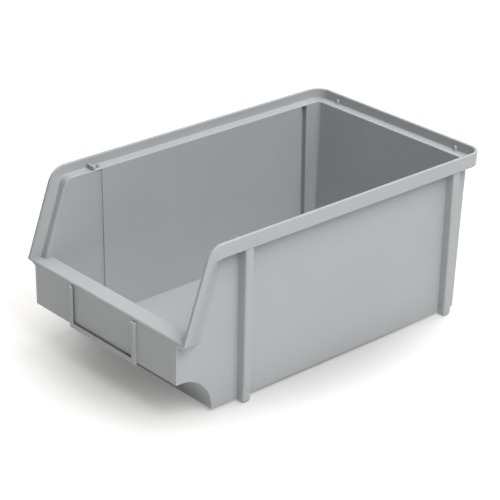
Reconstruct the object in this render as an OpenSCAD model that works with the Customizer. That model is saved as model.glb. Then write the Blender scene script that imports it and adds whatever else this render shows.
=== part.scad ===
// Open-fronted stacking storage bin, one grey injection moulding.
// Millimetres, +Z up. Width along X, the open front towards -Y, the back towards +Y.
// The origin is under the middle of the bin, on the surface that the feet stand on.

/* [Show] */
// node to draw, or all

/* [Overall] */
// width across the rim
bin_w = 306; // [200:1:420]
// length from the back rim to the label holder's face
bin_l = 500; // [300:1:700]
// height from the feet to the top of the rim
bin_h = 225; // [120:1:320]
// height of the walls' bottom edge above the feet
base_z = 4.5; // [2:0.5:8]

/* [Walls] */
// wall thickness at the top
wall_t = 3.2; // [2:0.1:6]
// outside half width of the side walls at the top
wall_x_top = 138.1; // [100:0.1:200]
// outside half width of the side walls at the bottom
wall_x_bot = 137.2; // [100:0.1:200]
// extra thickness that the side walls gain by the bottom
wall_grow = 1.0; // [0:0.1:3]
// how far the back wall leans in from top to bottom
back_lean = 8.1; // [0:0.1:20]
// floor thickness
floor_t = 2.8; // [2:0.1:6]

/* [Rim] */
// thickness of the upstanding rim band
band_t = 4.2; // [2:0.1:8]
// height of the rim band
band_h = 19; // [10:0.5:40]
// depth of the stacking ledge under the rim top
ledge_drop = 13; // [6:0.5:25]
// clear width of the stacking ledge
ledge_w = 13.9; // [8:0.1:25]
// thickness of the ledge
ledge_t = 3; // [2:0.1:5]
// outside radius of the two rear rim corners
corner_r = 22; // [20:1:40]
// radius of the bend where the rim turns down the slanted edge
bend_r = 26; // [22:1:40]
// depth of the flare that carries the slanted rim, square to the slope
flare_d = 34; // [20:1:50]

/* [Front] */
// height of the front shelf above the feet
shelf_z = 113.3; // [60:0.1:180]
// depth of the front shelf
shelf_d = 25; // [10:0.5:50]
// slope of the front edges from upright, in degrees
slope_deg = 19.9; // [5:0.1:45]
// height of the finger grip's roof above the feet
grip_z = 55.5; // [25:0.5:90]
// radius of the finger grip
grip_r = 48; // [15:0.5:70]

/* [Posts and feet] */
// length of a post along the wall
post_l = 12.6; // [8:0.1:30]
// outside half width over the front posts at the top
post_x_front = 151.4; // [130:0.1:180]
// outside half width over the rear posts at the top
post_x_rear = 150.2; // [130:0.1:180]
// how much narrower a post stands at its foot
post_taper = 1.5; // [0:0.1:3]
// front face of the front posts
post_y_front = -152.4; // [-240:0.1:0]
// front face of the rear posts
post_y_rear = 197.6; // [0:0.1:220]
// radius of the posts' outer corners
post_r = 2.6; // [0.5:0.1:5]
// outside half width over the feet
foot_x = 148.3; // [120:0.1:160]
// height of the feet
foot_h = 14; // [4:0.5:20]
// radius of the socket up each front foot
socket_r = 2.7; // [2:0.1:5]
// depth of the inside groove at a rear post
groove_rear = 9.6; // [2:0.1:11]
// depth of the inside groove at a front post
groove_front = 1.6; // [0.4:0.1:3]

/* [Locators] */
// radius of the locating pins
pin_r = 2.3; // [1.5:0.1:4]
// height of the rear pins above the ledge
pin_h_rear = 7; // [3:0.5:12]
// height of the front pins above the ledge
pin_h_front = 5; // [3:0.5:12]
// half distance between the rear pins
pin_x_rear = 109; // [60:0.5:130]
// half distance between the front pins
pin_x_front = 141; // [138:0.1:147]
// how far the front pins stand behind the front posts' front faces
pin_y_front = 8.9; // [4:0.1:9]
// height of the stop ribs above the ledge
stop_h = 5.5; // [2:0.1:8]
// thickness of the stop ribs
stop_t = 3; // [2:0.1:5]

/* [Label holder] */
// half width of the label holder
label_x = 64; // [30:1:110]
// how far the label holder stands out of the front wall
label_out = 3.5; // [2.5:0.1:6]
// depth of the card slot behind the holder's lips
label_slot = 2; // [1:0.1:3]
// overall width of each holder rail
label_rail = 6.5; // [4:0.1:10]
// height of the top of the side rails above the feet
label_top = 108.5; // [80:0.5:112]

/* [Hidden] */
$fn = 96;
grey = [0.66, 0.67, 0.67];

hw = bin_w / 2;
yb = bin_l / 2;
yf = -bin_l / 2 + label_out;            // outside face of the front wall and of the slanted rims' tips
ledge_z = bin_h - ledge_drop;           // top of the ledge
wall_z = ledge_z - ledge_t;             // top of the walls
band_z = bin_h - band_h;                // bottom of the rim band
band_x = hw - band_t;                   // inside face of the rim band
led_x = band_x - ledge_w;               // inside edge of the side ledges
led_y = yb - band_t - ledge_w;          // inside edge of the back ledge
back_o = led_y + wall_t;                // outside face of the back wall at its top
shelf_t = 3;
arch_t = 3;
arch_y = yf + 6;                        // centre of the finger grip's curve
arch_z = grip_z - grip_r;
cut_y = arch_y + grip_r + arch_t;       // where the floor and the long walls begin
eps_big = 400;

// slanted rim: the outer edge runs up from the tip at (yf, shelf_z)
edge_y = yf + (bin_h - shelf_z) * tan(slope_deg);       // where the slope would reach the rim top
bend_len = bend_r * tan((90 - slope_deg) / 2);
bend_y = edge_y + bend_len;                             // centre of the bend
bend_z = bin_h - bend_r;
slope_len = (bin_h - shelf_z) / cos(slope_deg) - bend_len;
lip_run = ledge_drop / cos(slope_deg);                  // level distance from the lip's edge to the slanted ledge
led_r = bend_r - ledge_drop;                            // radius of the ledge round the bend
tip_t = 2.3;                                            // thickness of the rim at its tips
cove_r = 9;                                             // radius of the cove under the tips
cove_x = wall_x_top + cove_r;
cove_z = shelf_z - tip_t - cove_r;

function out_x(z) = wall_x_bot + (wall_x_top - wall_x_bot) * (z - base_z) / (wall_z - base_z);
function in_x(z) = led_x + (wall_x_bot - wall_t - wall_grow - led_x) * (wall_z - z) / (wall_z - base_z);
function back_out_y(z) = back_o - back_lean * (wall_z - z) / (wall_z - base_z);
function back_in_y(z) = back_out_y(z) - wall_t;

// a (y, z) outline drawn out along X from x0 to x1
module along_x(x0, x1) translate([x0, 0, 0]) rotate([90, 0, 90]) linear_extrude(height = x1 - x0) children();
// an (x, z) outline drawn out along Y from y0 to y1
module along_y(y0, y1) translate([0, y1, 0]) rotate([90, 0, 0]) linear_extrude(height = y1 - y0) children();
// the slab of space that holds the right side wall
module wall_slab()
    along_y(-eps_big, eps_big) polygon([
        [in_x(0), 0], [out_x(0), 0], [out_x(bin_h), bin_h], [in_x(bin_h), bin_h]]);
// everything between the two side walls
module between_walls(z0 = 0, z1 = bin_h)
    along_y(-eps_big, eps_big) polygon([
        [-in_x(z0), z0], [in_x(z0), z0], [in_x(z1), z1], [-in_x(z1), z1]]);
// everything inboard of the right wall's outside face
module inboard()
    along_y(-eps_big, eps_big) polygon([[0, -5], [out_x(-5), -5], [out_x(bin_h), bin_h], [0, bin_h]]);

module floor_panel() color(grey)
    intersection() {
        along_x(-hw, hw) polygon([
            [cut_y, base_z], [back_in_y(base_z), base_z],
            [back_in_y(base_z + floor_t), base_z + floor_t], [cut_y, base_z + floor_t]]);
        between_walls();
    }

// inside groove that follows a post up the right wall
module groove(y0, depth) translate([in_x(0) - 6, y0 + 2, -1]) cube([6 + (led_x - in_x(0)) + depth, post_l - 4, wall_z + 1]);
module side_wall_right() color(grey)
    difference() {
        intersection() {
            along_x(100, hw) polygon([
                [bend_y, base_z], [back_out_y(base_z), base_z], [back_out_y(wall_z), wall_z], [bend_y, wall_z]]);
            wall_slab();
        }
        translate([in_x(0) - 6, post_y_rear + 2, base_z + floor_t]) cube([30, post_l - 4, bin_h]);
        translate([in_x(0) - 6, post_y_front + 2, base_z + floor_t]) cube([6 + led_x - in_x(0) + groove_front, post_l - 4, bin_h]);
    }
module side_wall_left() mirror([1, 0, 0]) side_wall_right();

// the front end of the right wall: slanted above the shelf, cut away under it for the fingers
module cheek_right_outline()
    difference() {
        union() {
            polygon([
                [yf, cove_z - 60], [yf, shelf_z], [yf + lip_run, shelf_z],
                [bend_y - led_r * cos(slope_deg), bend_z + led_r * sin(slope_deg)],
                [bend_y, bend_z], [bend_y, base_z], [arch_y, base_z], [arch_y, arch_z]]);
            intersection() {
                translate([bend_y, bend_z]) circle(r = led_r - ledge_t);
                translate([bend_y - 50, bend_z]) square([50, 50]);
            }
        }
        translate([arch_y, arch_z]) circle(r = grip_r);
        translate([yf - 10, base_z - 10]) square([arch_y - yf + 10, grip_z - base_z + 10]);
        translate([arch_y, base_z - 10]) square([grip_r, arch_z - base_z + 10]);
    }
module front_cheek_right() color(grey)
    intersection() {
        along_x(100, hw) cheek_right_outline();
        wall_slab();
    }
module front_cheek_left() mirror([1, 0, 0]) front_cheek_right();

module back_wall() color(grey)
    intersection() {
        along_x(-hw, hw) polygon([
            [back_in_y(base_z), base_z], [back_out_y(base_z), base_z],
            [back_out_y(wall_z), wall_z], [back_in_y(wall_z), wall_z]]);
        between_walls();
    }

// front wall, and the second wall behind it that closes the finger grip off from the inside
inner_y = yf + shelf_d - wall_t;
module front_wall() color(grey)
    intersection() {
        translate([-hw, yf, grip_z]) cube([2 * hw, wall_t, shelf_z - shelf_t - grip_z]);
        between_walls();
    }
module front_inner_wall() color(grey)
    intersection() {
        difference() {
            translate([-hw, inner_y, arch_z]) cube([2 * hw, wall_t, shelf_z - shelf_t - arch_z]);
            along_x(-bin_w, bin_w) translate([arch_y, arch_z]) circle(r = grip_r);
        }
        between_walls();
    }
module front_shelf() color(grey)
    intersection() {
        translate([-hw, yf, shelf_z - shelf_t]) cube([2 * hw, shelf_d, shelf_t]);
        between_walls();
    }
module grip_arch() color(grey)
    intersection() {
        difference() {
            union() {
                along_x(-hw, hw) translate([arch_y, arch_z]) circle(r = grip_r + arch_t);
                translate([-hw, arch_y, base_z]) cube([2 * hw, grip_r + arch_t, arch_z - base_z]);
            }
            along_x(-bin_w, bin_w) translate([arch_y, arch_z]) circle(r = grip_r);
            translate([-bin_w, arch_y - 100, -100]) cube([2 * bin_w, 100 + grip_r, arch_z + 100]);
            translate([-bin_w, arch_y - 100, arch_z - 1]) cube([2 * bin_w, 100 + inner_y + wall_t - arch_y, 200]);
            translate([-bin_w, arch_y, base_z - 100]) cube([2 * bin_w, 100, 100]);
        }
        between_walls();
    }

// stacking ledge and rim band
module ledge_right() color(grey)
    translate([led_x, bend_y, wall_z]) cube([ledge_w, yb - corner_r - bend_y, ledge_t]);
module ledge_left() mirror([1, 0, 0]) ledge_right();
module ledge_back() color(grey)
    translate([-(hw - corner_r), led_y, wall_z]) cube([2 * (hw - corner_r), ledge_w, ledge_t]);
module rim_band_right() color(grey)
    translate([band_x, bend_y, band_z]) cube([band_t, yb - corner_r - bend_y, band_h]);
module rim_band_left() mirror([1, 0, 0]) rim_band_right();
module rim_band_back() color(grey)
    translate([-(hw - corner_r), yb - band_t, band_z]) cube([2 * (hw - corner_r), band_t, band_h]);
module rim_corner_right() color(grey)
    translate([hw - corner_r, yb - corner_r, 0]) intersection() {
        difference() {
            translate([0, 0, band_z]) cylinder(r = corner_r, h = band_h);
            translate([0, 0, ledge_z]) cylinder(r = corner_r - band_t, h = band_h);
            translate([0, 0, band_z - 1]) cylinder(r = corner_r - band_t, h = 1 + wall_z - band_z);
            translate([-50, -50, 0]) cube([50 + led_x - (hw - corner_r), 50 + led_y - (yb - corner_r), bin_h + 1]);
        }
        cube([50, 50, bin_h + 1]);
    }
module rim_corner_left() mirror([1, 0, 0]) rim_corner_right();

// the rim turning over the bend: r is measured from the bend's centre
module bend_frame(deg) translate([0, bend_y, bend_z]) rotate([90, 0, 90]) rotate([0, 0, deg]) children();
module rim_bend_right() color(grey)
    bend_frame(90) rotate_extrude(angle = 90 - slope_deg) polygon([
        [bend_r - band_h, band_x], [led_r - ledge_t, band_x], [led_r - ledge_t, led_x], [led_r, led_x],
        [led_r, band_x], [bend_r, band_x], [bend_r, hw], [bend_r - band_h, hw]]);
module rim_bend_left() mirror([1, 0, 0]) rim_bend_right();

// the space above the cove that is cut under the tips
module above_cove()
    along_y(-eps_big, eps_big) difference() {
        translate([100, cove_z]) square([200, 300]);
        translate([cove_x, cove_z]) circle(r = cove_r);
        translate([cove_x, cove_z - 1]) square([200, cove_r + 1]);
    }
// the slanted rim: lip, stepped-down ledge and the flare that runs it into the wall
module slant_rim_right() color(grey)
    difference() {
        intersection() {
            bend_frame(180 - slope_deg) translate([0, slope_len + 30, 0]) rotate([90, 0, 0])
                linear_extrude(height = slope_len + 30) polygon([
                    [bend_r, band_x], [bend_r, hw], [bend_r - 10, hw], [bend_r - flare_d, wall_x_top - 2],
                    [led_r, wall_x_top - 2], [led_r, band_x]]);
            translate([100, yf, 0]) cube([100, 200, bin_h]);
            above_cove();
        }
        inboard();
    }
module slant_rim_left() mirror([1, 0, 0]) slant_rim_right();
// the level end of the shelf inside the slanted lip
module rim_tip_right() color(grey)
    difference() {
        intersection() {
            along_x(100, band_x) polygon([
                [yf, cove_z], [yf, shelf_z], [yf + lip_run, shelf_z],
                [yf + lip_run - (shelf_z - cove_z) * tan(slope_deg), cove_z]]);
            above_cove();
        }
        inboard();
    }
module rim_tip_left() mirror([1, 0, 0]) rim_tip_right();

// outside posts; the rear ones are pocketed from the inside
module post_plan(y0, x1)
    translate([0, y0, -1]) difference() {
        union() {
            translate([100, 0, 0]) cube([x1 - post_r - 100, post_l, bin_h]);
            translate([100, post_r, 0]) cube([x1 - 100, post_l - 2 * post_r, bin_h]);
            translate([x1 - post_r, post_r, 0]) cylinder(r = post_r, h = bin_h);
            translate([x1 - post_r, post_l - post_r, 0]) cylinder(r = post_r, h = bin_h);
        }
    }
module post(y0, x1)
    difference() {
        intersection() {
            post_plan(y0, x1);
            along_y(-eps_big, eps_big) polygon([
                [100, foot_h], [foot_x, foot_h], [x1 - post_taper, foot_h + 4], [x1, band_z],
                [band_x, band_z], [band_x, wall_z], [100, wall_z]]);
        }
        inboard();
    }
module post_front_right() color(grey) post(post_y_front, post_x_front);
module post_front_left() mirror([1, 0, 0]) post_front_right();
module post_rear_right() color(grey)
    difference() {
        post(post_y_rear, post_x_rear);
        translate([100, post_y_rear + 2, -1]) cube([led_x + groove_rear - 100, post_l - 4, bin_h]);
    }
module post_rear_left() mirror([1, 0, 0]) post_rear_right();

// feet, recessed so that they drop inside the rim of the bin below
foot_in = 4.2;  // how far a foot reaches in under the wall
foot_e = 3;     // edge radius of a foot's sole
module foot(y0)
    difference() {
        intersection() {
            post_plan(y0, foot_x);
            along_x(100, hw) union() {
                translate([y0, foot_e]) square([post_l, foot_h - foot_e]);
                translate([y0 + foot_e, 0]) square([post_l - 2 * foot_e, foot_e]);
                translate([y0 + foot_e, foot_e]) circle(r = foot_e);
                translate([y0 + post_l - foot_e, foot_e]) circle(r = foot_e);
            }
            along_y(-eps_big, eps_big) polygon([
                [in_x(base_z), 0], [foot_x - 1.5, 0], [foot_x, 1.5], [foot_x, foot_h], [in_x(base_z), foot_h]]);
        }
        intersection() {
            inboard();
            translate([0, -eps_big, base_z]) cube([200, 2 * eps_big, 50]);
        }
    }
module foot_front_right() color(grey)
    difference() {
        foot(post_y_front);
        translate([pin_x_front, post_y_front + pin_y_front, -1]) cylinder(r = socket_r, h = pin_h_front + 2);
    }
module foot_front_left() mirror([1, 0, 0]) foot_front_right();
module foot_rear_right() color(grey) foot(post_y_rear);
module foot_rear_left() mirror([1, 0, 0]) foot_rear_right();

// locating pins with rounded ends
module pin(h) union() {
    cylinder(r = pin_r, h = h - pin_r);
    translate([0, 0, h - pin_r]) sphere(r = pin_r);
}
module rear_pins() color(grey)
    for (s = [-1, 1]) translate([s * pin_x_rear, yb - band_t - pin_r - 0.2, ledge_z])
        pin(pin_h_rear);
module front_pins() color(grey)
    for (s = [-1, 1]) translate([s * pin_x_front, post_y_front + pin_y_front, ledge_z])
        pin(pin_h_front);

// ribs across the side ledges that stop a stacked bin from sliding forwards
module stop_rib_right() color(grey)
    translate([led_x, post_y_front - stop_t, ledge_z]) cube([ledge_w, stop_t, stop_h]);
module stop_rib_left() mirror([1, 0, 0]) stop_rib_right();

// label holder: three rails with a lip in front of the card slot
lab_z = grip_z - 2.5;
module label_rail_right() color(grey)
    translate([0, 0, lab_z + label_rail]) linear_extrude(height = label_top - lab_z - label_rail) polygon([
        [label_x - label_rail, yf - label_out], [label_x, yf - label_out], [label_x, yf],
        [label_x - 2, yf], [label_x - 2, yf - label_slot], [label_x - label_rail, yf - label_slot]]);
module label_rail_left() mirror([1, 0, 0]) label_rail_right();
module label_rail_bottom() color(grey)
    along_x(-label_x, label_x) polygon([
        [yf - label_out, lab_z], [yf, lab_z], [yf, grip_z + 1], [yf - label_slot, grip_z + 1],
        [yf - label_slot, lab_z + label_rail], [yf - label_out, lab_z + label_rail]]);

floor_panel();
side_wall_left();
side_wall_right();
front_cheek_left();
front_cheek_right();
back_wall();
front_wall();
front_inner_wall();
front_shelf();
grip_arch();
ledge_left();
ledge_right();
ledge_back();
rim_band_left();
rim_band_right();
rim_band_back();
rim_corner_left();
rim_corner_right();
rim_bend_left();
rim_bend_right();
slant_rim_left();
slant_rim_right();
rim_tip_left();
rim_tip_right();
post_front_left();
post_front_right();
post_rear_left();
post_rear_right();
foot_front_left();
foot_front_right();
foot_rear_left();
foot_rear_right();
front_pins();
rear_pins();
stop_rib_left();
stop_rib_right();
label_rail_left();
label_rail_right();
label_rail_bottom();
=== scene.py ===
import math
import bpy
import bmesh
from mathutils import Matrix, Vector


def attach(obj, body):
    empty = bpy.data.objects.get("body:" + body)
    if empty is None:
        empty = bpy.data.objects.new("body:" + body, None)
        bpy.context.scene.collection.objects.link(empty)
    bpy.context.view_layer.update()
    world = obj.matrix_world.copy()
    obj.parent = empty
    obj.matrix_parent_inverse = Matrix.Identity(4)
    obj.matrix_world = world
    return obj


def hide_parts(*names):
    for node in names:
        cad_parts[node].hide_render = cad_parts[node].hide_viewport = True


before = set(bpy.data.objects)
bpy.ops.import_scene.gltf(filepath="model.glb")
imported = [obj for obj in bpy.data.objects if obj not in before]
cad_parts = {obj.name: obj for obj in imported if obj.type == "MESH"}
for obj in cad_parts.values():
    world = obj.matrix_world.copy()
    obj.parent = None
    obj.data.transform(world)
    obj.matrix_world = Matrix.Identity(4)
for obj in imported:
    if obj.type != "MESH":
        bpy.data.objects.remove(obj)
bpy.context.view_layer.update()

MM = 0.001

# ---------------------------------------------------------------- sizes, in millimetres
HW, YB, TOP = 153.0, 250.0, 225.0          # half width, back face, rim top
BASE, FLOOR_Z = 4.5, 7.3
BAND_T, BAND_H, DROP = 4.2, 19.0, 13.0
LED_X, LED_Y = 134.9, 231.9                # inside edges of the ledge
WALL_Z = 209.0
YF, SHELF = -246.5, 113.3
SLOPE = math.radians(19.9)
CR = 22.0                                  # rear rim corner
CX, CY = HW - CR, YB - CR
BR = 26.0                                  # bend at the top of the slope
EDGE_Y = YF + (TOP - SHELF) * math.tan(SLOPE)
BEND_LEN = BR * math.tan((math.pi / 2 - SLOPE) / 2)
BEND_Y, BEND_Z = EDGE_Y + BEND_LEN, TOP - BR
BEND_ARC = BR * (math.pi / 2 - SLOPE)
SLOPE_LEN = (TOP - SHELF) / math.cos(SLOPE) - BEND_LEN
GRIP_R, GRIP_Z, ARCH_T = 48.0, 55.5, 3.0
ARCH_Y, ARCH_Z = YF + 6.0, GRIP_Z - GRIP_R
SHELF_D, WALL_T = 25.0, 3.2
INNER_Y = YF + SHELF_D - WALL_T
IN_R, OUT_R = 6.0, 3.0                     # inside and outside radii of the rear wall corners
NO = 22                                    # points on a station's outer side
FLARE_W = 40.0                             # width of the flare, square to the slope
COVE = 6.0                                 # depth of the hollow under a tip
SEAM_Y = -168.0                            # where the front end of a side gives way to the level part


def out_x(z):
    return 137.2 + 0.9 * (z - BASE) / (WALL_Z - BASE)


def in_x(z):
    return 134.9 - 1.9 * (WALL_Z - z) / (WALL_Z - BASE)


def back_out(z):
    return 235.1 - 8.1 * (WALL_Z - z) / (WALL_Z - BASE)


def back_in(z):
    return back_out(z) - WALL_T


def smooth(t):
    t = min(1.0, max(0.0, t))
    return t * t * (3 - 2 * t)


def arc(cx, cy, r, a0, a1, n):
    return [(cx + r * math.cos(math.radians(a0 + (a1 - a0) * i / n)),
             cy + r * math.sin(math.radians(a0 + (a1 - a0) * i / n))) for i in range(n + 1)]


# ---------------------------------------------------------------- rim profile
# a runs in from the lip's outer face and b runs down from its top edge
def level_outer():
    p = [(14.9, 16.0), (10.0, 16.0), (5.2, 16.0), (4.2, 16.6), (4.2, 18.2)]
    p += arc(3.2, 18.0, 1.0, 0, 90, 4)[1:]
    p += arc(1.0, 18.0, 1.0, 90, 180, 4)[0:]
    rest = NO - len(p)
    p += [(0.0, 17.0 - (17.0 - 1.4) * (i + 1) / rest) for i in range(rest)]
    return [(a + 0.045 * (b - 1.4) * (1 - a / 4.2), b) if a < 4.2 and b > 1.4 else (a, b) for a, b in p]


def slope_outer(amount):
    n = NO - 1
    us = [FLARE_W - (FLARE_W - 1.6) * i / (n - 1.0) for i in range(n)]
    p = [(amount * (0.68 * smooth(u / FLARE_W) + 0.32 * u / FLARE_W), u) for u in us]
    return p + [(0.0, 0.9)]


def lip_top(r):
    return arc(r, r, r, 180, 270, 5) + arc(BAND_T - r, r, r, 270, 360, 5)


def level_inner(in_a):
    p = [(4.2, 6.0)]
    p += [(4.2 + 1.0 - math.cos(math.radians(t)), 12.0 + math.sin(math.radians(t))) for t in (0, 30, 60, 90)]
    p += [(9.0, 13.0)]
    p += [(in_a - 1.0 + math.sin(math.radians(t)), 14.0 - math.cos(math.radians(t))) for t in (0, 18, 36, 54, 72, 90)]
    return p


def slope_inner(in_a):
    r = 3.6
    p = [(4.2, 4.0)]
    p += [(7.4 + 1.6 * (1 - math.cos(math.radians(t))), 11.4 + 1.6 * math.sin(math.radians(t))) for t in (0, 30, 60, 90)]
    p += [(11.0, 13.0)]
    p += [(in_a - r + r * math.sin(math.radians(t)), 13.0 + r - r * math.cos(math.radians(t))) for t in (0, 18, 36, 54, 72, 90)]
    return p


def mix(p, q, f):
    return [(x0 + (x1 - x0) * f, y0 + (y1 - y0) * f) for (x0, y0), (x1, y1) in zip(p, q)]


N_LIP = len(lip_top(1.0))
N_IN = len(level_inner(18.1))


def edge_station(s):
    """A station s millimetres past the start of the bend: its place on the edge and its downward direction, as (y, z)."""
    if s <= 0:
        return (BEND_Y - s, TOP), (0.0, -1.0)
    if s < BEND_ARC:
        t = math.pi / 2 + s / BR
        return (BEND_Y + BR * math.cos(t), BEND_Z + BR * math.sin(t)), (-math.cos(t), -math.sin(t))
    t = math.pi - SLOPE
    d = s - BEND_ARC
    return ((BEND_Y + BR * math.cos(t) - d * math.sin(SLOPE), BEND_Z + BR * math.sin(t) - d * math.cos(SLOPE)),
            (math.cos(SLOPE), -math.sin(SLOPE)))


def front_profile(s):
    """3-D points of the rim at a station in the bend or on the slope, from the outer wall over the lip to the inner wall."""
    (y0, z0), (dy, dz) = edge_station(s)
    f = smooth((s - 10.0) / 40.0)
    end = BEND_ARC + SLOPE_LEN - s
    r = 1.2 - 0.6 * f
    if end < 12:
        r = 0.3 + 0.3 * end / 12.0
    zc = z0 + dz * (16 + (FLARE_W - 16) * f)
    a_out = HW - out_x(zc)
    lo = [(a * a_out / 14.9, b) for a, b in level_outer()]
    outer = mix(lo, slope_outer(a_out), f)
    outer[-1] = (0.0, r + 0.1)
    zi = z0 + dz * (14 + 2.6 * f)
    in_a = HW - in_x(zi)
    inner = mix(level_inner(in_a), slope_inner(in_a), f)
    pts = [(HW - a, y0 + b * dy, z0 + b * dz) for a, b in outer + lip_top(r) + inner]
    x, y, z = pts[-1]
    pts[-1] = (in_x(z), y, z)
    x, y, z = pts[0]
    pts[0] = (out_x(z), y, z)
    return pts


def level_profile(y):
    a_out = HW - out_x(WALL_Z)
    pr = [(a * a_out / 14.9, b) for a, b in level_outer()] + lip_top(1.2) + level_inner(HW - in_x(211.0))
    return [(HW - a, y, TOP - b) for a, b in pr]


def corner_profile(deg):
    """A station round the rear corner: the lip, the ledge's edge and the walls each turn about their own centre."""
    t = math.radians(deg)
    c, s = math.cos(t), math.sin(t)
    a_out = HW - out_x(WALL_Z)
    pts = []
    for k, (a, b) in enumerate([(a * a_out / 14.9, b) for a, b in level_outer()] + lip_top(1.2) + level_inner(18.1)):
        z = TOP - b
        if k == 0:
            cx, cy, r = out_x(z) - OUT_R, back_out(z) - OUT_R, OUT_R
        elif k > NO + N_LIP + 4:
            cx, cy, r = LED_X - IN_R, LED_Y - IN_R, IN_R + 18.1 - a
        else:
            cx, cy, r = CX, CY, CR - a
        pts.append((cx + r * c, cy + r * s, z))
    return pts


# ---------------------------------------------------------------- mesh helpers
class Part:
    def __init__(self):
        self.v, self.f, self.key = [], [], {}

    def add(self, p, fresh=False):
        k = tuple(round(c, 4) for c in p)
        if not fresh and k in self.key:
            return self.key[k]
        self.v.append(p)
        self.key[k] = len(self.v) - 1
        return len(self.v) - 1

    def face(self, pts):
        ids = []
        for p in pts:
            i = self.add(p)
            if not ids or ids[-1] != i:
                ids.append(i)
        if len(ids) > 1 and ids[0] == ids[-1]:
            ids.pop()
        if len(set(ids)) >= 3 and len(set(ids)) == len(ids):
            self.f.append(ids)

    def strip(self, p, q):
        for i in range(len(p) - 1):
            self.face([p[i], p[i + 1], q[i + 1], q[i]])


def make(name, part, replaced, mirror=False, sharp=32.0, both=False):
    """Turns a Part into a shown piece. mirror makes the left-hand one, both makes one piece of the right half and the left half."""
    me = bpy.data.meshes.new(name)
    sides = [(-1 if mirror else 1)] + ([-1] if both else [])
    verts, faces = [], []
    for s in sides:
        n = len(verts)
        verts += [(s * x * MM, y * MM, z * MM) for x, y, z in part.v]
        faces += [[n + i for i in (f if s > 0 else f[::-1])] for f in part.f]
    me.from_pydata(verts, [], faces)
    bm = bmesh.new()
    bm.from_mesh(me)
    bmesh.ops.remove_doubles(bm, verts=bm.verts, dist=2e-6)
    bmesh.ops.recalc_face_normals(bm, faces=bm.faces) if not getattr(part, "keep", False) else None
    for e in bm.edges:
        if len(e.link_faces) == 2:
            e.smooth = e.calc_face_angle(3.0) < math.radians(sharp)
    for f in bm.faces:
        f.smooth = True
    bm.to_mesh(me)
    bm.free()
    o = bpy.data.objects.new(name, me)
    bpy.context.scene.collection.objects.link(o)
    wn = o.modifiers.new("wall_normals", "WEIGHTED_NORMAL")
    wn.mode = "FACE_AREA"
    wn.weight = 100
    wn.keep_sharp = True
    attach(o, "root")
    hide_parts(*replaced)
    PIECES.append(o)
    return o


PIECES = []
GROOVES = [(-150.4, -141.8, 1.6), (199.8, 208.8, 7.4)]


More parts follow.
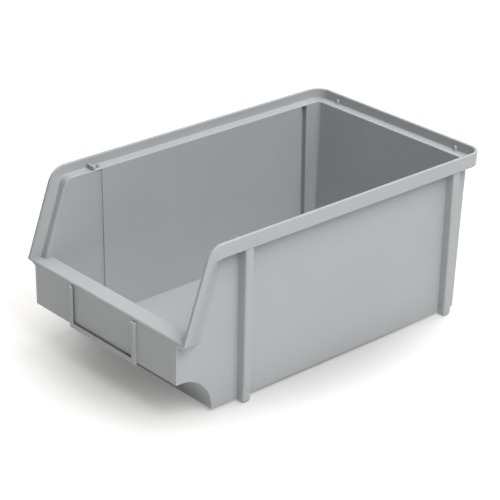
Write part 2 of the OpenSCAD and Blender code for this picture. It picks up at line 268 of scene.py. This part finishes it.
# ---------------------------------------------------------------- one side of the bin
def side_part():
    p = Part()
    # the bend and the slope
    n_bend, n_slope = 18, 34
    stations = [BEND_Y - SEAM_Y] + [BEND_ARC * i / n_bend for i in range(n_bend)]
    stations += [BEND_ARC + (SLOPE_LEN) * (i / n_slope) for i in range(n_slope + 1)]
    prof = [front_profile(s) for s in stations]
    prof[0] = level_profile(SEAM_Y)
    last = prof[-1]
    for i in range(NO - 1, NO + N_LIP):
        x, y, z = last[i]
        last[i] = (x, YF if i < NO + 6 else y, SHELF if i < NO + 6 else z)
    for q, r in zip(prof, prof[1:]):
        p.strip(q, r)
    # cove under the tip: the flare's end is carried down and in to the wall
    ring = last[:NO]
    prev = ring
    steps = 12
    for k in range(0, steps + 1):
        cur = []
        for x, y, z in ring:
            off = x - out_x(z)
            rel = off / 14.9
            back = smooth((y - YF - 1.0) / 16.0)       # 0 at the front edge, 1 well behind it
            drop = (COVE + 12.0 * back) * max(rel, 0.0) ** 0.5 if back > 0 else COVE
            t = k / steps
            zz_c = z - 1.8 * (1 - back) - drop * (1 - math.cos(math.radians(90 * t)))
            xx_c = off * (1 - math.sin(math.radians(90 * t)))
            zz_s = z - drop * t
            xx_s = off * (1 - smooth(t))
            zz = zz_c + (zz_s - zz_c) * back
            cur.append((out_x(zz) + xx_c + (xx_s - xx_c) * back, y, zz))
        p.strip(prev, cur)
        prev = cur
    foot_line = prev                      # where the cove meets the wall
    # inside face of the front end of the wall, down to the grip
    arch = [(ARCH_Y + (GRIP_R) * math.cos(math.radians(t)), ARCH_Z + GRIP_R * math.sin(math.radians(t))) for t in range(90, -1, -5)]
    low = [(YF, GRIP_Z)] + arch + [(ARCH_Y + GRIP_R, BASE)]
    inner_edge = [q[-1] for q in prof]    # bend start ... tip
    tip_in = inner_edge[-1]
    poly = [(in_x(BASE), SEAM_Y, BASE)] + inner_edge
    poly += [(in_x(SHELF - 1.0), YF, SHELF - 1.0)] + [(in_x(z), y, z) for y, z in low]
    p.face(poly[::-1])
    # outside face of the front end
    outer_edge = [q[0] for q in prof]
    poly = [(out_x(BASE), SEAM_Y, BASE)] + outer_edge + foot_line[1:] + [(out_x(z), y, z) for y, z in low]
    p.face(poly)
    # edges of the front end
    li = [(in_x(z), y, z) for y, z in low]
    lo = [(out_x(z), y, z) for y, z in low]
    p.strip(li + [(in_x(BASE), SEAM_Y, BASE)], lo + [(out_x(BASE), SEAM_Y, BASE)])
    # the long wall, level rim, grooves and rear corner
    ys = [SEAM_Y] + [g for a, b, d in GROOVES for g in (a, b)] + [None]
    lines = []
    for y in ys:
        if y is None:
            break
        lines.append((level_profile(y), (out_x(BASE), y, BASE), (in_x(BASE), y, BASE)))
    for deg in range(0, 91, 9):
        t = math.radians(deg)
        c, s = math.cos(t), math.sin(t)
        lines.append((corner_profile(deg),
                      (out_x(BASE) - OUT_R + OUT_R * c, back_out(BASE) - OUT_R + OUT_R * s, BASE),
                      (in_x(BASE) - IN_R + IN_R * c, back_in(BASE) - IN_R + IN_R * s, BASE)))
    q, o, i = lines[-1]
    lines.append(([(0.0, y, z) for x, y, z in q], (0.0,) + o[1:], (0.0,) + i[1:]))
    for n, (A, B) in enumerate(zip(lines, lines[1:])):
        (qa, oa, ia), (qb, ob, ib) = A, B
        p.strip(qb, qa)
        deep = None
        for a, b, d in GROOVES:
            if abs(qa[-1][1] - a) < 1e-6 and n in (1, 3):
                deep = d
        if deep is None or deep < 3:
            p.face([qa[0], qb[0], ob, oa])
            p.face([oa, ob, ib, ia])
        else:
            zc = 14.5
            p.face([(out_x(zc), qa[0][1], zc), (out_x(zc), qb[0][1], zc), ob, oa])
            p.face([oa, ob, ib, ia])
        if deep is None:
            p.face([qb[-1], qa[-1], ia, ib])
        else:
            ta, tb = (qa[-1][0] + deep,) + qa[-1][1:], (qb[-1][0] + deep,) + qb[-1][1:]
            za = (ia[0] + deep,) + ia[1:]
            zb = (ib[0] + deep,) + ib[1:]
            p.face([qa[-1], qb[-1], tb, ta])
            p.face([ta, tb, zb, za])
            p.face([qa[-1], ta, za, ia])
            p.face([tb, qb[-1], ib, zb])
    return p


def wing_part():
    """The front face and top of the shelf's outer end, out to the tip."""
    p = Part()
    x0 = in_x(80.0)
    xs = [x0, 135.5, 137.45] + [137.6 + (HW - 137.6) * (1 - math.cos(math.radians(90 * i / 14))) ** 0.8 for i in range(1, 15)]
    cols = []
    for x in xs:
        if x <= 137.5:
            zl = GRIP_Z
        else:
            off = 15.4
            t = (x - 137.6) / off
            s = min(1.0, max(0.0, 1 - t))
            zl = SHELF - 1.8 - COVE * (1 - math.sqrt(max(0.0, 1 - s * s)))
        r = 3.0 * (1 - smooth((x - 141.0) / 11.0)) + 0.25
        r = min(r, SHELF - zl - 0.05)
        col = [(x, YF, zl + (SHELF - r - zl) * k / 3.0) for k in range(4)]
        col += [(x, YF + r - r * math.cos(math.radians(t)), SHELF - r + r * math.sin(math.radians(t))) for t in (15, 30, 45, 60, 75, 90)]
        if x <= 149.3:
            col += [(x, -238.0, SHELF), (x, -232.0 if x > 136 else YF + SHELF_D - 1.2, SHELF)]
        if not cols:
            col = [(in_x(z) + 0.04, y, z) for _, y, z in col]
        cols.append(col)
    for a, b in zip(cols, cols[1:]):
        p.strip(a[:len(b)], b[:len(a)])
    return p


def front_part():
    """The front wall, shelf, inner wall, finger grip and floor: one outline drawn out between the side walls."""
    r0, r1, r2 = 3.0, 1.2, 4.0
    pts = [(YF, GRIP_Z)] + [(YF, 80.0)]
    pts += [(YF + r0 - r0 * math.cos(math.radians(t)), SHELF - r0 + r0 * math.sin(math.radians(t))) for t in (0, 15, 30, 45, 60, 75, 90)]
    ye = INNER_Y + WALL_T
    pts += [(ye - r1 + r1 * math.sin(math.radians(t)), SHELF - r1 + r1 * math.cos(math.radians(t))) for t in (0, 22.5, 45, 67.5, 90)]
    ro = GRIP_R + ARCH_T
    t0 = math.degrees(math.acos((ye - ARCH_Y) / ro))
    pts += [(ARCH_Y + ro * math.cos(math.radians(t)), ARCH_Z + ro * math.sin(math.radians(t)))
            for t in [t0 * (1 - k / 16.0) for k in range(17)]]
    pts += [(ARCH_Y + ro, FLOOR_Z), (back_in(FLOOR_Z) + 1.0, FLOOR_Z), (back_in(BASE) + 1.0, BASE), (ARCH_Y + GRIP_R, BASE)]
    t1 = math.degrees(math.acos((INNER_Y - ARCH_Y) / GRIP_R))
    pts += [(ARCH_Y + GRIP_R * math.cos(math.radians(t)), ARCH_Z + GRIP_R * math.sin(math.radians(t)))
            for t in [t1 * k / 16.0 for k in range(17)]]
    pts += [(INNER_Y, SHELF - 3.0), (YF + WALL_T, SHELF - 3.0), (YF + WALL_T, GRIP_Z)]
    p = Part()
    rows = [[(s * (in_x(z) + 0.04), y, z) for y, z in pts + pts[:1]] for s in (-1, 1)]
    p.strip(rows[0], rows[1])
    return p


def post_part(y0, x1, x_bot, open_in):
    """An outside post with rounded corners, its foot end stepped in."""
    p = Part()
    y1 = y0 + 12.6

    def ring(x, z, r=2.6, grow=0.0):
        xin = out_x(z) - 0.6 if open_in else 136.5
        pts = [(xin, y0, z), (137.9, y0, z)]
        pts += [(x - r + r * math.sin(math.radians(t)), y0 + r - r * math.cos(math.radians(t)), z) for t in range(0, 91, 15)]
        pts += [(x - r + r * math.cos(math.radians(t)), y1 - r + r * math.sin(math.radians(t)), z) for t in range(0, 91, 15)]
        pts += [(137.9, y1, z), (xin, y1, z)]
        return pts
    zs = [(WALL_Z if open_in else 207.5, x1), (150.0, x1 - (x1 - x_bot) * 0.3), (80.0, x1 - (x1 - x_bot) * 0.65), (26.0, x_bot), (13.9, 148.3)]
    rings = [ring(x, z) for z, x in zs]
    for a, b in zip(rings, rings[1:]):
        p.strip(b, a)
    p.face(rings[-1][::-1])
    if not open_in:
        p.face(rings[0])
        for a, b in zip(rings, rings[1:]):
            p.face([a[0], b[0], b[-1], a[-1]])
    return p


def foot_part():
    """A round-soled foot under a post; y runs from its own front face."""
    p = Part()
    levels = [(14.0, 0.0), (5.0, 0.0), (3.4, 0.25), (2.1, 0.8), (1.1, 1.6), (0.4, 2.6), (0.1, 3.5), (0.0, 4.4)]
    rings = []
    for z, d in levels:
        x0, x1, y0, y1, r = 133.2 + d, 148.3 - d, d, 12.6 - d, max(2.6 - 0.3 * d, 1.0)
        ring = []
        for cx, cy, a in ((x1 - r, y0 + r, -90), (x1 - r, y1 - r, 0), (x0 + r, y1 - r, 90), (x0 + r, y0 + r, 180)):
            ring += [(cx + r * math.cos(math.radians(a + t)), cy + r * math.sin(math.radians(a + t)), z) for t in (0, 22.5, 45, 67.5, 90)]
        rings.append(ring + ring[:1])
    for a, b in zip(rings, rings[1:]):
        p.strip(a, b)
    p.face(rings[0][:-1])
    p.face(rings[-1][:-1][::-1])
    return p


def label_part():
    """The label holder: one hooked section carried down, across and up again with mitred corners."""
    p = Part()
    hi, lo, out, lip, slot = 108.5, GRIP_Z - 2.5, 3.5, 6.5, 2.0

    def section(web):
        q = [(0.0, 0.0), (0.0, out - 0.9)]
        q += [(0.9 - 0.9 * math.cos(math.radians(t)), out - 0.9 + 0.9 * math.sin(math.radians(t))) for t in (30, 60, 90)]
        q += [(lip - 0.6 + 0.6 * math.sin(math.radians(t)), out - 0.6 + 0.6 * math.cos(math.radians(t))) for t in (0, 30, 60, 90)]
        q += [(lip, slot + 0.15), (lip - 0.15, slot), (web, slot), (web, 0.0)]
        return q
    side, low = section(2.0), section(GRIP_Z + 1.0 - lo)
    rings = [[(-64.0 + u, YF - w, hi) for u, w in side],
             [(-64.0 + u, YF - w, lo + v) for (u, w), (v, _) in zip(side, low)],
             [(64.0 - u, YF - w, lo + v) for (u, w), (v, _) in zip(side, low)],
             [(64.0 - u, YF - w, hi) for u, w in side]]
    for a, b in zip(rings, rings[1:]):
        p.strip(a + a[:1], b + b[:1])
    p.face(rings[0])
    p.face(rings[-1][::-1])
    return p


def moved(part, dy):
    q = Part()
    q.v = [(x, y + dy, z) for x, y, z in part.v]
    q.f = [list(f) for f in part.f]
    return q


def bevelled(node, width, seg=3):
    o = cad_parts[node]
    m = o.modifiers.new("edge", "BEVEL")
    m.width = width * MM
    m.segments = seg
    m.limit_method = "ANGLE"
    m.angle_limit = math.radians(30)
    m.harden_normals = False
    w = o.modifiers.new("clean", "WELD")
    w.merge_threshold = 2e-6
    bpy.context.view_layer.objects.active = o
    # weld first, then bevel
    while o.modifiers[0].name != "clean":
        bpy.ops.object.modifier_move_up(modifier="clean")
    for poly in o.data.polygons:
        poly.use_smooth = True
    PIECES.append(o)
    return o


side = side_part()
wing = wing_part()
for hand, mir in (("right", False), ("left", True)):
    make("side_" + hand, side, ["side_wall_" + hand, "front_cheek_" + hand, "ledge_" + hand, "rim_band_" + hand, "rim_corner_" + hand,
                               "rim_bend_" + hand, "slant_rim_" + hand] + (["back_wall", "ledge_back", "rim_band_back"] if not mir else []), mirror=mir)
    make("tip_" + hand, wing, ["rim_tip_" + hand], mirror=mir)
    make("post_front_shell_" + hand, post_part(-152.4, 151.4, 149.9, False), ["post_front_" + hand], mirror=mir)
    make("post_rear_shell_" + hand, post_part(197.6, 150.2, 148.6, True), ["post_rear_" + hand], mirror=mir)
make("front_and_floor", front_part(), ["front_wall", "front_shelf", "front_inner_wall", "grip_arch", "floor_panel"])
for hand, mir in (("right", False), ("left", True)):
    make("foot_front_sole_" + hand, moved(foot_part(), -152.4), ["foot_front_" + hand], mirror=mir)
    make("foot_rear_sole_" + hand, moved(foot_part(), 197.6), ["foot_rear_" + hand], mirror=mir)
for n in ("stop_rib_left", "stop_rib_right"):
    bevelled(n, 0.5, 3)
make("label_holder", label_part(), ["label_rail_left", "label_rail_right", "label_rail_bottom"], sharp=40.0)
for n in ("front_pins", "rear_pins"):
    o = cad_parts[n]
    PIECES.append(o)


# ---------------------------------------------------------------- materials
def ramp(nt, a, b, va, vb):
    r = nt.nodes.new("ShaderNodeValToRGB")
    r.color_ramp.elements[0].position, r.color_ramp.elements[1].position = a, b
    r.color_ramp.elements[0].color, r.color_ramp.elements[1].color = va, vb
    return r


def plastic():
    m = bpy.data.materials.new("grey_plastic_moulded")
    m.use_nodes = True
    nt = m.node_tree
    nt.nodes.clear()
    out = nt.nodes.new("ShaderNodeOutputMaterial")
    bsdf = nt.nodes.new("ShaderNodeBsdfPrincipled")
    nt.links.new(bsdf.outputs["BSDF"], out.inputs["Surface"])
    tc = nt.nodes.new("ShaderNodeTexCoord")
    # broad, faint shade differences from the moulding
    n1 = nt.nodes.new("ShaderNodeTexNoise")
    n1.inputs["Scale"].default_value = 9.0
    n1.inputs["Detail"].default_value = 3.0
    nt.links.new(tc.outputs["Object"], n1.inputs["Vector"])
    # fine speckle in the polymer
    n2 = nt.nodes.new("ShaderNodeTexNoise")
    n2.inputs["Scale"].default_value = 900.0
    n2.inputs["Detail"].default_value = 4.0
    nt.links.new(tc.outputs["Object"], n2.inputs["Vector"])
    c1 = ramp(nt, 0.3, 0.7, (0.393, 0.407, 0.411, 1), (0.414, 0.428, 0.432, 1))
    nt.links.new(n1.outputs["Fac"], c1.inputs["Fac"])
    c2 = ramp(nt, 0.3, 0.7, (0.955, 0.955, 0.955, 1), (1.0, 1.0, 1.0, 1))
    nt.links.new(n2.outputs["Fac"], c2.inputs["Fac"])
    mul = nt.nodes.new("ShaderNodeMixRGB")
    mul.blend_type = "MULTIPLY"
    mul.inputs["Fac"].default_value = 1.0
    nt.links.new(c1.outputs["Color"], mul.inputs["Color1"])
    nt.links.new(c2.outputs["Color"], mul.inputs["Color2"])
    nt.links.new(mul.outputs["Color"], bsdf.inputs["Base Color"])
    # roughness varies slightly where the mould was polished
    rr = nt.nodes.new("ShaderNodeMapRange")
    rr.inputs["To Min"].default_value = 0.42
    rr.inputs["To Max"].default_value = 0.56
    n3 = nt.nodes.new("ShaderNodeTexNoise")
    n3.inputs["Scale"].default_value = 30.0
    n3.inputs["Detail"].default_value = 5.0
    nt.links.new(tc.outputs["Object"], n3.inputs["Vector"])
    nt.links.new(n3.outputs["Fac"], rr.inputs["Value"])
    nt.links.new(rr.outputs["Result"], bsdf.inputs["Roughness"])
    # fine moulded grain
    bump = nt.nodes.new("ShaderNodeBump")
    bump.inputs["Strength"].default_value = 0.06
    bump.inputs["Distance"].default_value = 0.0003
    nt.links.new(n2.outputs["Fac"], bump.inputs["Height"])
    nt.links.new(bump.outputs["Normal"], bsdf.inputs["Normal"])
    bsdf.inputs["IOR"].default_value = 1.49
    bsdf.inputs["Specular IOR Level"].default_value = 0.35
    return m


GREY = plastic()
for o in PIECES:
    o.data.materials.clear()
    o.data.materials.append(GREY)

# ---------------------------------------------------------------- floor, light and camera
# floor glow: E0 is the dimmed glow next to the bin (painted shade), E1 the full glow farther out
FLOOR_A, FLOOR_E0, FLOOR_E1 = 0.40, 0.18, 0.63
fm = bpy.data.materials.new("studio_floor")
fm.use_nodes = True
nt = fm.node_tree
b = nt.nodes["Principled BSDF"]
b.inputs["Roughness"].default_value = 0.9
b.inputs["Specular IOR Level"].default_value = 0.1
tc = nt.nodes.new("ShaderNodeTexCoord")
nz = nt.nodes.new("ShaderNodeTexNoise")
nz.inputs["Scale"].default_value = 3.0
nt.links.new(tc.outputs["Object"], nz.inputs["Vector"])
cr = ramp(nt, 0.3, 0.7, (FLOOR_A, FLOOR_A, FLOOR_A, 1), (FLOOR_A + 0.01, FLOOR_A + 0.01, FLOOR_A + 0.01, 1))
nt.links.new(nz.outputs["Fac"], cr.inputs["Fac"])
nt.links.new(cr.outputs["Color"], b.inputs["Base Color"])
# the floor glows from within to light the scene and stay white; the glow is dimmed close to the bin, a painted shadow
# on the floor around and under the bin
sc = nt.nodes.new("ShaderNodeMapping")
sc.vector_type = "POINT"
sc.inputs["Scale"].default_value = (1 / 0.26, 1 / 0.38, 1.0)
nt.links.new(tc.outputs["Object"], sc.inputs["Vector"])
ln = nt.nodes.new("ShaderNodeVectorMath")
ln.operation = "LENGTH"
nt.links.new(sc.outputs["Vector"], ln.inputs[0])
mr = nt.nodes.new("ShaderNodeMapRange")
mr.interpolation_type = "SMOOTHSTEP"
mr.inputs["From Min"].default_value = 0.50
mr.inputs["From Max"].default_value = 1.00
mr.inputs["To Min"].default_value = FLOOR_E0
mr.inputs["To Max"].default_value = FLOOR_E1
nt.links.new(ln.outputs["Value"], mr.inputs["Value"])
nt.links.new(mr.outputs["Result"], b.inputs["Emission Strength"])
b.inputs["Emission Color"].default_value = (1.0, 0.99, 0.965, 1)
bpy.ops.mesh.primitive_circle_add(vertices=96, radius=9.0, fill_type="NGON", location=(0, 0, 0))
floor = bpy.context.object
floor.name = "studio_floor"
floor.data.materials.append(fm)

world = bpy.data.worlds.new("studio")
bpy.context.scene.world = world
world.use_nodes = True
world.node_tree.nodes["Background"].inputs["Color"].default_value = (1.0, 1.0, 1.0, 1)
world.node_tree.nodes["Background"].inputs["Strength"].default_value = 0.02


def area(name, loc, size, power, tint=(1.0, 1.0, 1.0), target=(0, 0, 0.1)):
    d = bpy.data.lights.new(name, "AREA")
    d.shape = "SQUARE"
    d.size = size
    d.energy = power
    d.color = tint
    o = bpy.data.objects.new(name, d)
    bpy.context.scene.collection.objects.link(o)
    o.location = loc
    o.rotation_euler = (Vector(target) - Vector(loc)).to_track_quat("-Z", "Y").to_euler()
    return o


area("right_soft", (1.6, 0.0, 2.3), 1.8, 54.0, (0.985, 0.99, 1.02))
area("front_right_soft", (1.6, -0.8, 2.3), 1.6, 24.0)
area("top_soft", (0.0, 1.0, 2.6), 1.2, 24.0)
area("back_soft", (0.0, 2.2, 1.9), 1.8, 32.0)
area("left_soft", (-2.2, 0.0, 1.9), 1.8, 27.0)

cam_data = bpy.data.cameras.new("camera")
cam = bpy.data.objects.new("camera", cam_data)
bpy.context.scene.collection.objects.link(cam)
AZ, EL, ROLL = math.radians(48.171), math.radians(25.346), math.radians(0.843)
fw = Vector((-math.sin(AZ) * math.cos(EL), math.cos(AZ) * math.cos(EL), -math.sin(EL)))
r0 = Vector((math.cos(AZ), math.sin(AZ), 0.0))
u0 = r0.cross(fw)
right = r0 * math.cos(ROLL) + u0 * math.sin(ROLL)
up = u0 * math.cos(ROLL) - r0 * math.sin(ROLL)
cam.matrix_world = Matrix(((right.x, up.x, -fw.x, 1.5600), (right.y, up.y, -fw.y, -1.4081), (right.z, up.z, -fw.z, 1.0997), (0, 0, 0, 1)))
cam_data.sensor_width = 36.0
cam_data.lens = 1823.34 / 500.0 * 36.0
cam_data.clip_start, cam_data.clip_end = 0.05, 50.0
bpy.context.scene.camera = cam
bpy.context.scene.view_settings.view_transform = "Standard"
bpy.context.scene.view_settings.look = "None"
